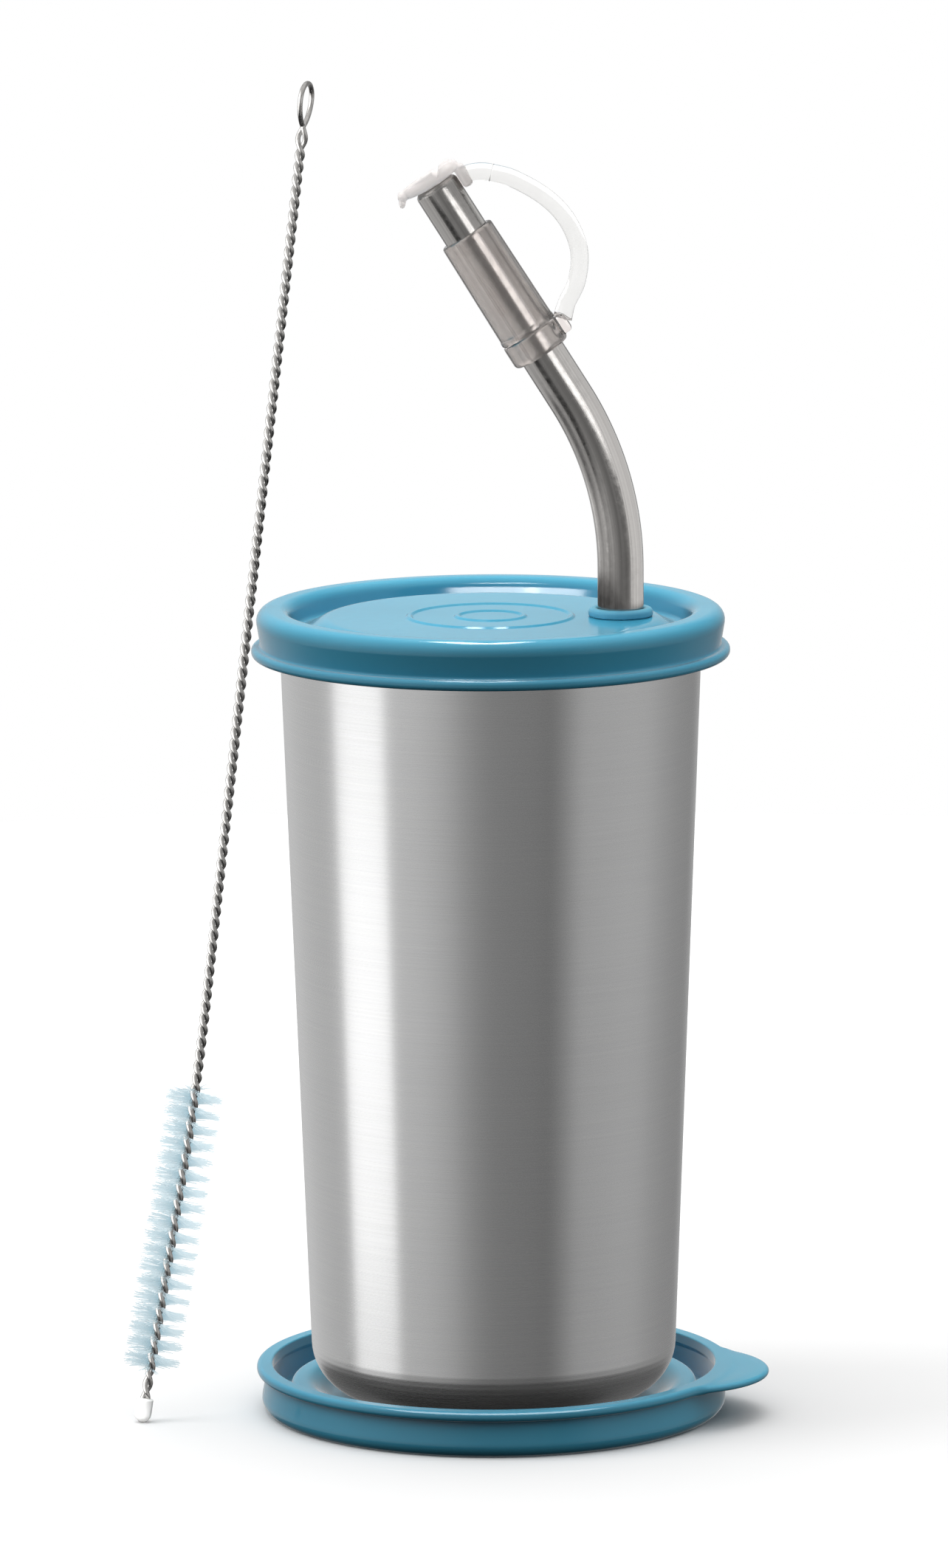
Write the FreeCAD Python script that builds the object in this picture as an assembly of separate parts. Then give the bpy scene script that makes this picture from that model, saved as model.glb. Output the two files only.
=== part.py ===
import FreeCAD, Part
import math
import os

# Straw cup with a spare lid as its coaster and a straw brush leaning on its lid.
# Millimetres. Origin on the cup's axis at the floor, +Z up, +X towards the spare lid's pull tab,
# -Y is the front.

Vector = FreeCAD.Vector
Z_AXIS = Vector(0, 0, 1)
Y_AXIS = Vector(0, 1, 0)

# Snap lid moulding: heights run up from the underside of its flange.
LID_HEIGHT = 8.4
LID_FLANGE_RADIUS = 41.6
LID_FLANGE_THICKNESS = 1.8
LID_WALL_FOOT_RADIUS = 40.0
LID_WALL_TOP_RADIUS = 41.1
LID_MOUTH_RADIUS = 38.85
LID_CHANNEL_OUTER_RADIUS = 39.7
LID_CHANNEL_INNER_RADIUS = 35.5
LID_CHANNEL_ROOF = 7.15
LID_RECESS_RADIUS = 34.4
LID_RECESS_FLOOR = 4.3
LID_STEP_OUTER_RADIUS = 32.8
LID_STEP_INNER_RADIUS = 29.0
LID_CENTRE_TOP = 6.7
LID_PANEL_THICKNESS = 1.3
LID_RING_RADII = (5.8, 14.1)
LID_RING_WIDTH = 1.3
LID_RING_HEIGHT = 0.35

# Pull tab: a thin disc that stands out of the flange.
TAB_RADIUS = 17.4
TAB_CENTRE_RADIUS = 31.2
TAB_UNDERSIDE = 0.3
TAB_THICKNESS = 1.2
TAB_EDGE = 0.5
SPARE_TAB_ANGLE = -9.5
STRAW_LID_TAB_ANGLE = 90.0

# Tumbler.
CUP_BASE_Z = 3.05
CUP_RIM_Z = 140.8
CUP_BASE_RADIUS = 31.6
CUP_TOP_RADIUS = 36.75
CUP_WALL = 0.6
CUP_CORNER_RADIUS = 7.5
CUP_RIM_BEAD_RADIUS = 0.95

# Straw: vertical, then one bend towards -X, then a straight mouth end.
STRAW_LID_FLANGE_Z = 133.8
STRAW_X = 22.6
STRAW_RADIUS = 4.0
STRAW_BORE_RADIUS = 3.5
STRAW_BOTTOM_Z = 9.0
STRAW_BEND_Z = 149.0
STRAW_BEND_RADIUS = 56.0
STRAW_BEND_ANGLE = 32.2
STRAW_MOUTH_LENGTH = 43.8
STRAW_TIP_ROUND = 0.2

# Grommet that holds the straw in the lid.
GROMMET_BORE_RADIUS = 4.05
GROMMET_NECK_RADIUS = 4.95
LID_HOLE_RADIUS = 5.0
GROMMET_COLLAR_RADIUS = 5.6
GROMMET_COLLAR_HEIGHT = 1.5
GROMMET_FLANGE_RADIUS = 5.5
GROMMET_FLANGE_HEIGHT = 1.0
GROMMET_GAP = 0.05

# Silicone parts on the mouth end: distances along it from the end of the bend.
SLEEVE_START = 13.4
SLEEVE_END = 33.6
SLEEVE_FOOT_RADIUS = 5.15
SLEEVE_TOP_RADIUS = 4.9
SLEEVE_LIP_RADIUS = 5.25
RING_START = 9.0
RING_END = 13.3
RING_BORE_RADIUS = 4.05
RING_RADIUS = 5.3
RING_EAR_REACH = 6.8
RING_EAR_WIDTH = 3.4
STRAP_RADIUS = 1.6
STRAP_LOOP_CENTRE = 27.0
STRAP_LOOP_RADIUS = 16.0
STRAP_CAP_END_ANGLE = 31.5
STRAP_RING_END_ANGLE = 158.0

# Cap over the mouth end.
CAP_SKIRT_START = 41.0
CAP_PLATE_UNDERSIDE = 43.9
CAP_TOP = 45.8
CAP_RADIUS = 5.4
CAP_BORE_RADIUS = 4.3
CAP_BOSS_RADIUS = 1.9
CAP_BOSS_X = 2.6
CAP_BOSS_HEIGHT = 0.35
CAP_TAB_REACH = 7.2
CAP_TAB_WIDTH = 4.0
CAP_TAB_THICKNESS = 1.5
CAP_EAR_REACH = 6.2
CAP_EAR_WIDTH = 3.0
CAP_EAR_LOW = 41.2
CAP_EAR_HIGH = 43.0

# Straw brush: foot on the floor, shaft resting beside the straw lid, hanging loop on top.
BRUSH_FOOT = Vector(-61.4, -10.8, 0)
BRUSH_BEND = Vector(-51.6, -6.3, 58.5)
BRUSH_REST = Vector(-42.05, 0, 140.2)
BRUSH_NECK = Vector(-32.0, 6.3, 225.6)
BRUSH_BEND_RADIUS = 400.0
BRUSH_STEM_RADIUS = 0.85
BRUSH_WIRE_RADIUS = 0.45
BRUSH_LOOP_RADIUS = 3.65
BRUSH_LOOP_TURN = 15.5
BRISTLE_RADIUS = 5.0
BRISTLE_START = 8.0
BRISTLE_LENGTH = 50.0
BRUSH_TIP_RADIUS = 1.5
BRUSH_TIP_LENGTH = 4.2


def corner_arc(before, corner, after, radius):
    """Ends and middle of the arc that rounds one corner."""
    to_before = (before - corner).normalize()
    to_after = (after - corner).normalize()
    half_angle = to_before.getAngle(to_after) / 2
    bisector = (to_before + to_after).normalize()
    centre = corner + bisector * (radius / math.sin(half_angle))
    reach = radius / math.tan(half_angle)
    return corner + to_before * reach, centre - bisector * radius, corner + to_after * reach


def rounded_edges(corners, closed):
    """Straight edges through corners (point, radius), with tangent arcs where the radius isn't 0."""
    count = len(corners)
    edges = []
    last = None
    first = None
    for index, (corner, radius) in enumerate(corners):
        is_end = not closed and index in (0, count - 1)
        if radius and not is_end:
            before = corners[index - 1][0]
            after = corners[(index + 1) % count][0]
            start, middle, end = corner_arc(before, corner, after, radius)
        else:
            start, middle, end = corner, None, corner
        if last is not None:
            edges.append(Part.LineSegment(last, start).toShape())
        else:
            first = start
        if middle is not None:
            edges.append(Part.Arc(start, middle, end).toShape())
        last = end
    if closed:
        edges.append(Part.LineSegment(last, first).toShape())
    return edges


def turned(outline):
    """Solid turned about Z from an outline of (radius, height, corner radius)."""
    corners = [(Vector(radius, 0, height), rounding) for radius, height, rounding in outline]
    face = Part.Face(Part.Wire(rounded_edges(corners, closed=True)))
    return face.revolve(Vector(0, 0, 0), Z_AXIS, 360)


def disc(radius, height, position, axis=Z_AXIS):
    return Part.makeCylinder(radius, height, position, axis)


def block(low, high, rounding=0):
    size = high - low
    solid = Part.makeBox(size.x, size.y, size.z, low)
    return solid.makeFillet(rounding, solid.Edges) if rounding else solid


def one_solid(shape):
    shape = shape.removeSplitter()
    return shape.Solids[0] if len(shape.Solids) == 1 else shape


def lid_outline():
    """Half section of the lid, flange underside at height 0, visible face first."""
    outline = [(0, LID_CENTRE_TOP, 0)]
    for radius in LID_RING_RADII:
        half = LID_RING_WIDTH / 2
        outline += [
            (radius - half, LID_CENTRE_TOP, 0.2),
            (radius - half / 3, LID_CENTRE_TOP + LID_RING_HEIGHT, 0.2),
            (radius + half / 3, LID_CENTRE_TOP + LID_RING_HEIGHT, 0.2),
            (radius + half, LID_CENTRE_TOP, 0.2),
        ]
    recess_back = LID_RECESS_FLOOR - LID_PANEL_THICKNESS
    centre_back = LID_CENTRE_TOP - LID_PANEL_THICKNESS
    outline += [
        (LID_STEP_INNER_RADIUS, LID_CENTRE_TOP, 4.0),
        (LID_STEP_OUTER_RADIUS, LID_RECESS_FLOOR, 3.5),
        (LID_RECESS_RADIUS, LID_RECESS_FLOOR, 0.7),
        (LID_RECESS_RADIUS + 0.3, LID_HEIGHT, 3.0),
        (LID_WALL_TOP_RADIUS, LID_HEIGHT, 2.2),
        (LID_WALL_FOOT_RADIUS, LID_FLANGE_THICKNESS, 0.35),
        (LID_FLANGE_RADIUS, LID_FLANGE_THICKNESS, 0.8),
        (LID_FLANGE_RADIUS, 0, 0.8),
        (LID_MOUTH_RADIUS, 0, 0.3),
        (LID_MOUTH_RADIUS, LID_FLANGE_THICKNESS, 0),
        (LID_MOUTH_RADIUS + 0.3, LID_FLANGE_THICKNESS + 0.4, 0),
        (LID_CHANNEL_OUTER_RADIUS, LID_CHANNEL_ROOF, 0.8),
        (LID_CHANNEL_INNER_RADIUS, LID_CHANNEL_ROOF, 1.0),
        (LID_CHANNEL_INNER_RADIUS, recess_back, 1.0),
        (LID_STEP_OUTER_RADIUS - 0.3, recess_back, 3.0),
        (LID_STEP_INNER_RADIUS - 0.3, centre_back, 4.0),
        (0, centre_back, 0),
    ]
    return outline


def lid_moulding(tab_angle):
    """Snap lid with its pull tab, right way up, flange underside at z = 0."""
    lid = turned(lid_outline())
    tab = disc(TAB_RADIUS, TAB_THICKNESS, Vector(TAB_CENTRE_RADIUS, 0, TAB_UNDERSIDE))
    tab = tab.makeFillet(TAB_EDGE, [edge for edge in tab.Edges if edge.Closed])
    inside_wall = (LID_MOUTH_RADIUS + LID_WALL_FOOT_RADIUS) / 2
    tab = tab.cut(disc(inside_wall, LID_HEIGHT, Vector(0, 0, -1)))
    tab.rotate(Vector(0, 0, 0), Z_AXIS, tab_angle)
    return one_solid(lid.fuse(tab))


def spare_lid():
    """The lid moulding upside down: its crest is the foot and the cup stands inside it."""
    lid = lid_moulding(-SPARE_TAB_ANGLE)
    lid.rotate(Vector(0, 0, 0), Vector(1, 0, 0), 180)
    lid.translate(Vector(0, 0, LID_HEIGHT))
    return lid


def straw_lid():
    lid = lid_moulding(STRAW_LID_TAB_ANGLE)
    lid.translate(Vector(0, 0, STRAW_LID_FLANGE_Z))
    hole = disc(LID_HOLE_RADIUS, 2 * LID_HEIGHT, Vector(STRAW_X, 0, STRAW_LID_FLANGE_Z - 2))
    return one_solid(lid.cut(hole))


def tumbler():
    """Tapered cup of one wall thickness, with its rim rolled outwards."""
    bead_z = CUP_RIM_Z - CUP_RIM_BEAD_RADIUS
    corner_inside = CUP_CORNER_RADIUS - CUP_WALL
    cup = turned([
        (0, CUP_BASE_Z, 0),
        (CUP_BASE_RADIUS, CUP_BASE_Z, CUP_CORNER_RADIUS),
        (CUP_TOP_RADIUS, bead_z, 0),
        (CUP_TOP_RADIUS - CUP_WALL, bead_z, 0),
        (CUP_BASE_RADIUS - CUP_WALL, CUP_BASE_Z + CUP_WALL, corner_inside),
        (0, CUP_BASE_Z + CUP_WALL, 0),
    ])
    bead_centre = CUP_TOP_RADIUS - CUP_WALL + CUP_RIM_BEAD_RADIUS
    bead = Part.makeTorus(bead_centre, CUP_RIM_BEAD_RADIUS, Vector(0, 0, bead_z))
    return one_solid(cup.fuse(bead))


def straw_grommet():
    panel_top = STRAW_LID_FLANGE_Z + LID_CENTRE_TOP
    panel_back = panel_top - LID_PANEL_THICKNESS
    collar_foot = panel_top + GROMMET_GAP
    collar_top = collar_foot + GROMMET_COLLAR_HEIGHT
    flange_top = panel_back - GROMMET_GAP
    flange_foot = flange_top - GROMMET_FLANGE_HEIGHT
    grommet = turned([
        (GROMMET_BORE_RADIUS, flange_foot, 0.3),
        (GROMMET_FLANGE_RADIUS, flange_foot, 0.3),
        (GROMMET_FLANGE_RADIUS, flange_top, 0.3),
        (GROMMET_NECK_RADIUS, flange_top, 0),
        (GROMMET_NECK_RADIUS, collar_foot, 0),
        (GROMMET_COLLAR_RADIUS, collar_foot, 0.4),
        (GROMMET_COLLAR_RADIUS, collar_top, 0.8),
        (GROMMET_BORE_RADIUS, collar_top, 0.5),
    ])
    grommet.translate(Vector(STRAW_X, 0, 0))
    return grommet


def mouth_placement():
    """Places a part whose +Z is the straw's mouth end and whose origin is the end of the bend."""
    angle = math.radians(STRAW_BEND_ANGLE)
    end_x = STRAW_X - STRAW_BEND_RADIUS * (1 - math.cos(angle))
    end_z = STRAW_BEND_Z + STRAW_BEND_RADIUS * math.sin(angle)
    turn = FreeCAD.Rotation(Y_AXIS, -STRAW_BEND_ANGLE)
    return FreeCAD.Placement(Vector(end_x, 0, end_z), turn)


def on_mouth_end(shape):
    shape.Placement = mouth_placement().multiply(shape.Placement)
    return shape


def straw_rod(radius, extra=0):
    """Solid rod along the straw's centreline, its ends lengthened by extra."""
    upright = disc(radius, STRAW_BEND_Z - STRAW_BOTTOM_Z + extra, Vector(STRAW_X, 0, STRAW_BOTTOM_Z - extra))
    section = Part.Face(Part.Wire(Part.Circle(Vector(STRAW_X, 0, STRAW_BEND_Z), Z_AXIS, radius).toShape()))
    bend_centre = Vector(STRAW_X - STRAW_BEND_RADIUS, 0, STRAW_BEND_Z)
    bend = section.revolve(bend_centre, -Y_AXIS, STRAW_BEND_ANGLE)
    mouth = disc(radius, STRAW_MOUTH_LENGTH + extra, Vector(0, 0, 0))
    if not extra:
        mouth = mouth.makeFillet(STRAW_TIP_ROUND, [mouth.Edges[0]])
    mouth.Placement = mouth_placement()
    return one_solid(upright.fuse([bend, mouth]))


def straw():
    tube = straw_rod(STRAW_RADIUS).cut(straw_rod(STRAW_BORE_RADIUS, extra=1))
    return one_solid(tube)


def straw_sleeve():
    sleeve = turned([
        (STRAW_RADIUS, SLEEVE_START, 0),
        (SLEEVE_LIP_RADIUS, SLEEVE_START, 0.2),
        (SLEEVE_LIP_RADIUS, SLEEVE_START + 0.7, 0.2),
        (SLEEVE_FOOT_RADIUS, SLEEVE_START + 0.9, 0),
        (SLEEVE_TOP_RADIUS, SLEEVE_END, 0.5),
        (STRAW_RADIUS, SLEEVE_END, 0),
    ])
    return on_mouth_end(sleeve)


def cap_ring():
    ring = turned([
        (RING_BORE_RADIUS, RING_START, 0.2),
        (RING_RADIUS, RING_START, 0.8),
        (RING_RADIUS, RING_END, 0.2),
        (RING_BORE_RADIUS, RING_END, 0.2),
    ])
    ear_low = Vector(0, -RING_EAR_WIDTH / 2, RING_END - 3.4)
    ear_high = Vector(RING_EAR_REACH, RING_EAR_WIDTH / 2, RING_END - 0.1)
    ear = block(ear_low, ear_high, 0.5).cut(disc(RING_BORE_RADIUS, RING_END, Vector(0, 0, 1)))
    ear = ear.cut(block(Vector(-1, -9, 0), Vector(2, 9, 20)))
    return on_mouth_end(one_solid(ring.fuse(ear)))


def cap_strap():
    """Round strap on one arc in the plane of the bend, from beside the cap to the ring's ear."""
    centre = Vector(0, 0, STRAP_LOOP_CENTRE)
    start = math.radians(STRAP_CAP_END_ANGLE)
    direction = Vector(math.sin(start), 0, math.cos(start))
    tangent = Vector(math.cos(start), 0, -math.sin(start))
    section = Part.Circle(centre + direction * STRAP_LOOP_RADIUS, tangent, STRAP_RADIUS).toShape()
    sweep = STRAP_RING_END_ANGLE - STRAP_CAP_END_ANGLE
    strap = Part.Face(Part.Wire(section)).revolve(centre, Y_AXIS, sweep)
    return one_solid(on_mouth_end(strap).cut(cap_ring()))


def straw_cap():
    """Plate and short skirt over the tip, a pull tab towards -X and a hinge ear towards +X."""
    cap = turned([
        (0, CAP_TOP, 0),
        (CAP_RADIUS, CAP_TOP, 0.7),
        (CAP_RADIUS, CAP_SKIRT_START, 0.4),
        (CAP_BORE_RADIUS, CAP_SKIRT_START, 0.3),
        (CAP_BORE_RADIUS, CAP_PLATE_UNDERSIDE, 0),
        (0, CAP_PLATE_UNDERSIDE, 0),
    ])
    middle = (CAP_RADIUS + CAP_BORE_RADIUS) / 2
    tab_low = Vector(-CAP_TAB_REACH, -CAP_TAB_WIDTH / 2, CAP_TOP - CAP_TAB_THICKNESS - 0.2)
    tab = block(tab_low, Vector(-middle + 1, CAP_TAB_WIDTH / 2, CAP_TOP - 0.2), 0.6)
    ear_low = Vector(middle, -CAP_EAR_WIDTH / 2, CAP_EAR_LOW)
    ear = block(ear_low, Vector(CAP_EAR_REACH, CAP_EAR_WIDTH / 2, CAP_EAR_HIGH))
    ear = ear.makeFillet(0.4, [edge for edge in ear.Edges if edge.BoundBox.XMin > CAP_RADIUS])
    boss = disc(CAP_BOSS_RADIUS, 1 + CAP_BOSS_HEIGHT, Vector(CAP_BOSS_X, 0, CAP_TOP - 1))
    boss = boss.makeFillet(CAP_BOSS_HEIGHT * 0.8, [boss.Edges[0]])
    cap = cap.fuse([tab, ear, boss])
    cap = cap.cut(disc(CAP_BORE_RADIUS, CAP_PLATE_UNDERSIDE - 1, Vector(0, 0, 1)))
    return on_mouth_end(one_solid(cap))


def swept_rod(points, bend_radius, radius):
    """Round rod along straight runs joined by tangent arcs."""
    corners = [(point, bend_radius) for point in points]
    path = Part.Wire(rounded_edges(corners, closed=False))
    direction = (points[1] - points[0]).normalize()
    section = Part.Wire(Part.Circle(points[0], direction, radius).toShape())
    return path.makePipeShell([section], True, False)


def brush_foot_direction():
    return (BRUSH_BEND - BRUSH_FOOT).normalize()


def along_brush(distance):
    """Point on the brush's lower run, measured from the centre of its rounded foot."""
    foot_centre = BRUSH_FOOT + Vector(0, 0, BRUSH_TIP_RADIUS)
    return foot_centre + brush_foot_direction() * distance


def brush_tip():
    """Rounded plastic bead on the end of the wire."""
    direction = brush_foot_direction()
    body = disc(BRUSH_TIP_RADIUS, BRUSH_TIP_LENGTH - BRUSH_TIP_RADIUS, along_brush(0), direction)
    body = body.makeFillet(0.3, [body.Edges[0]])
    ball = Part.makeSphere(BRUSH_TIP_RADIUS, along_brush(0))
    return one_solid(body.fuse(ball).cut(brush_rod()))


def brush_rod():
    """Plain rod in place of the two twisted wires."""
    points = [along_brush(0.6), BRUSH_BEND, BRUSH_REST, BRUSH_NECK]
    return swept_rod(points, BRUSH_BEND_RADIUS, BRUSH_STEM_RADIUS)


def brush_stem():
    """Stem rod with the wire's hanging loop, whose plane holds the stem."""
    axis = (BRUSH_NECK - BRUSH_REST).normalize()
    sideways = FreeCAD.Rotation(Z_AXIS, 90 - BRUSH_LOOP_TURN).multVec(Vector(1, 0, 0))
    normal = axis.cross(sideways).normalize()
    centre = BRUSH_NECK + axis * BRUSH_LOOP_RADIUS
    loop = Part.makeTorus(BRUSH_LOOP_RADIUS, BRUSH_WIRE_RADIUS, centre, normal)
    return one_solid(brush_rod().fuse(loop))


def brush_bristles():
    """Envelope of the bristles, open along the stem."""
    direction = brush_foot_direction()
    envelope = disc(BRISTLE_RADIUS, BRISTLE_LENGTH, along_brush(BRISTLE_START), direction)
    envelope = envelope.makeChamfer(0.8, [edge for edge in envelope.Edges if edge.Closed])
    return one_solid(envelope.cut(brush_rod()))


SUB_PARTS = (
    spare_lid,
    tumbler,
    straw_lid,
    straw_grommet,
    straw,
    straw_sleeve,
    cap_ring,
    cap_strap,
    straw_cap,
    brush_stem,
    brush_bristles,
    brush_tip,
)

os.makedirs("parts", exist_ok=True)
for make in SUB_PARTS:
    shape = make()
    shape.exportStep("parts/" + make.__name__ + ".step")
    box = shape.BoundBox
    print(make.__name__, "solids", len(shape.Solids), "valid", shape.isValid(), "volume", round(shape.Volume, 1),
          "x", round(box.XMin, 2), round(box.XMax, 2), "y", round(box.YMin, 2), round(box.YMax, 2),
          "z", round(box.ZMin, 2), round(box.ZMax, 2))
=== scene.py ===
import random
from math import cos, pi, radians, sin, sqrt, tan

import bmesh
import bpy
from mathutils import Matrix, Vector


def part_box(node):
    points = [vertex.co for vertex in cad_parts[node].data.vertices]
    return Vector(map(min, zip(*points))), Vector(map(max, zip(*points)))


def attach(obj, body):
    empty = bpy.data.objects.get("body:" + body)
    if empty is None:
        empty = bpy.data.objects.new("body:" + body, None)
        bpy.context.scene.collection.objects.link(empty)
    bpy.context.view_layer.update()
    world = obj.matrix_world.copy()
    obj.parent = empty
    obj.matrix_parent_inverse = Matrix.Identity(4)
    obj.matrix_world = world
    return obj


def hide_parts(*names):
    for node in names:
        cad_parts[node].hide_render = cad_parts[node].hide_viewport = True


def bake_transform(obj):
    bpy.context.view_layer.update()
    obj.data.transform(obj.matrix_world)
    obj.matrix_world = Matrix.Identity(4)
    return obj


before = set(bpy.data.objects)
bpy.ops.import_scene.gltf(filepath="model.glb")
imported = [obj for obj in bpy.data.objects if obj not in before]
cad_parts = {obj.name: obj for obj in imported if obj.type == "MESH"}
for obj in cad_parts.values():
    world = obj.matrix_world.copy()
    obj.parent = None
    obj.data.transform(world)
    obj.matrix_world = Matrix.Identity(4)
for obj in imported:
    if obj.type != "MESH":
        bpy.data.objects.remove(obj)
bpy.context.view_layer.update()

# Shapes are worked out in millimetres, in the frame's own axes, and scaled to metres as meshes.
MM = 0.001
TINY = 1e-6
TURN = 2 * pi
X_AXIS = Vector((1, 0, 0))
Y_AXIS = Vector((0, 1, 0))
Z_AXIS = Vector((0, 0, 1))


def node_box(name):
    """Lowest and highest corners of a CAD node, in millimetres."""
    low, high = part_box(name)
    return low / MM, high / MM


# A stretch of an outline longer than this gets a point near each end, at most this far in.
LONG_STRETCH = 1.0
STRETCH_INSET = 0.25

# Lid moulding: heights run up from the underside of its flange.
LID_HEIGHT = node_box("spare_lid")[1].z
LID_SEGMENTS = 420
FLANGE_RADIUS = 41.6
FLANGE_THICKNESS = 1.8
FLANGE_ROOT_RADIUS = 40.3
FLANGE_STEPS = 14
EDGE_ROUNDING_START = 40.8
MOUTH_RADIUS = 38.85
LID_CENTRE_TOP = 6.7
LID_RECESS_FLOOR = 4.3
LID_PANEL = 1.3
LID_STEP_INNER = 29.0
LID_STEP_OUTER = 32.8
LID_CREST_FOOT = 34.4
LID_CREST_ROOF = 7.15
RIDGE_RADII = (5.8, 14.1)
RIDGE_FOOT = 0.65
RIDGE_CREST = 0.22
RIDGE_HEIGHT = 0.35
TAB_RADIUS = 17.37
TAB_CENTRE = 31.2
TAB_THICKNESS = 1.2
TAB_UNDERSIDE = 0.3
TAB_THINNING = 1.6
TAB_ROOT_SOFTNESS = 0.9
TAB_ROOT_REACH = 12
TAB_DISH = 0.16
TAB_DISH_EDGE = 2.2
SPARE_TAB_ANGLE = radians(-9.5)
STRAW_LID_TAB_ANGLE = radians(90)
STRAW_LID_Z = node_box("straw_lid")[0].z
LID_HOLE_RADIUS = 5.0
LID_HOLE_CUT = 20
LID_SHARP_ANGLE = radians(35)

# Tumbler.
CUP_BASE_Z = node_box("tumbler")[0].z
CUP_RIM_Z = node_box("tumbler")[1].z
CUP_BASE_RADIUS = 31.6
CUP_TOP_RADIUS = 36.75
CUP_WALL = 0.6
CUP_CORNER_RADIUS = 9.4
CUP_CORNER_STEPS = 14
CUP_BEAD_RADIUS = 0.95
BASE_PANEL_RADIUS = 21.0
BASE_RING_RADIUS = 22.2
BASE_RING_DEPTH = 0.55
BASE_ROUNDING = 1.2

# Straw: upright, one bend towards -X, then the straight mouth end.
STRAW_X = (node_box("straw_grommet")[0].x + node_box("straw_grommet")[1].x) / 2
STRAW_RADIUS = 4.0
STRAW_BORE_RADIUS = 3.5
STRAW_BOTTOM_Z = node_box("straw")[0].z
STRAW_BEND_Z = 149.0
STRAW_BEND_RADIUS = 56.0
STRAW_BEND_ANGLE = radians(32.2)
STRAW_MOUTH_LENGTH = 43.8
STRAW_UPRIGHT = STRAW_BEND_Z - STRAW_BOTTOM_Z
STRAW_BEND_LENGTH = STRAW_BEND_RADIUS * STRAW_BEND_ANGLE
MOUTH_START = STRAW_UPRIGHT + STRAW_BEND_LENGTH
UPRIGHT_STEPS = 12
BEND_STEPS = 48
MOUTH_STEPS = 8
STRAW_NOSE = 1.1
STRAW_LIP = 0.2
# Silicone that grips the tube is modelled a hair inside its surface, so that no air shows between them.
SNUG_RADIUS = STRAW_RADIUS - 0.08

# Silicone strap: a route gives points of its middle as (along, across) the mouth end.
STRAP_RADIUS = 1.55
STRAP_SWELLING = 0.12
STRAP_SWELLING_POINTS = 14
STRAP_ROUTE = ((40.3, 9.35), (37.2, 12.1), (31.6, 15.0), (26.2, 16.0), (20.8, 14.95), (16.6, 11.9),
               (14.2, 8.3), (12.35, 6.2))
NECK_RADIUS = 1.53
NECK_ROUTE = ((42.35, 4.95), (42.25, 6.0), (41.75, 7.3), (40.95, 8.6), (40.3, 9.35))
BLUNT_END = 0.02

# Straw brush.
BRUSH_FOOT = Vector((-61.4, -10.8, 0))
BRUSH_BEND = Vector((-51.6, -6.3, 58.5))
BRUSH_REST = Vector((-42.05, 0, 140.2))
BRUSH_NECK = Vector((-32.0, 6.3, 225.6))
BRUSH_BEND_REACH = 14.0
BRUSH_BEND_STEPS = 8
BRUSH_TIP_RADIUS = 1.5
BRUSH_TIP_LENGTH = 4.2
WIRE_RADIUS = 0.45
WIRE_START = 1.0
WIRE_STEP = 0.3
WIRE_PITCH = 4.2
WIRE_PITCH_IN_BRISTLES = 5.5
LOOP_HEIGHT = 7.25
LOOP_HALF_WIDTH = 3.6
LOOP_FULLNESS = 1.12
LOOP_STEPS = 60
LOOP_TURN = radians(15.5)
LOOP_SIDE = Vector((sin(LOOP_TURN), cos(LOOP_TURN), 0))
EYE_LENGTH = 4.0
EYE_SPREAD = 0.64
BRISTLE_START = 8.0
BRISTLE_END = 58.0
BRISTLE_REACH = 5.0
BRISTLE_COUNT = 1900
BRISTLE_RADIUS = 0.088
BRISTLE_TAPER = 0.03
BRISTLE_RINGS = 4
BRISTLE_SEED = 7


# ---- outlines and meshes

def polar(radius, height, angle):
    return Vector((radius * cos(angle), radius * sin(angle), height))


def rounded(corners, closed=True, arc_steps=7):
    """Points of an outline through (radius, height, rounding) corners."""
    points = []
    count = len(corners)
    for index, (x, y, rounding) in enumerate(corners):
        corner = Vector((x, y))
        at_end = not closed and index in (0, count - 1)
        if at_end or not rounding:
            points.append(corner)
            continue
        to_before = (Vector(corners[index - 1][:2]) - corner).normalized()
        to_after = (Vector(corners[(index + 1) % count][:2]) - corner).normalized()
        half = to_before.angle(to_after) / 2
        reach = rounding / tan(half)
        centre = corner + (to_before + to_after).normalized() * (rounding / sin(half))
        start = corner + to_before * reach - centre
        end = corner + to_after * reach - centre
        sweep = start.angle_signed(end)
        for step in range(arc_steps + 1):
            turned = start.copy()
            turned.rotate(Matrix.Rotation(-sweep * step / arc_steps, 2))
            points.append(centre + turned)
    return supported(points, closed)


def arc(centre, radii, start, sweep, steps):
    """Outline points along part of an ellipse, with its angles in degrees."""
    angles = [radians(start + sweep * step / steps) for step in range(steps + 1)]
    return [Vector((centre[0] + radii[0] * cos(angle), centre[1] + radii[1] * sin(angle)))
            for angle in angles]


def supported(points, closed):
    """Adds points near the ends of every long stretch, which keeps its shading flat."""
    result = []
    count = len(points)
    for index, point in enumerate(points):
        result.append(point)
        if index == count - 1 and not closed:
            break
        following = points[(index + 1) % count]
        stretch = following - point
        if stretch.length > LONG_STRETCH:
            inset = stretch.normalized() * min(STRETCH_INSET, stretch.length / 4)
            result += [point + inset, following - inset]
    return result


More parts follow.
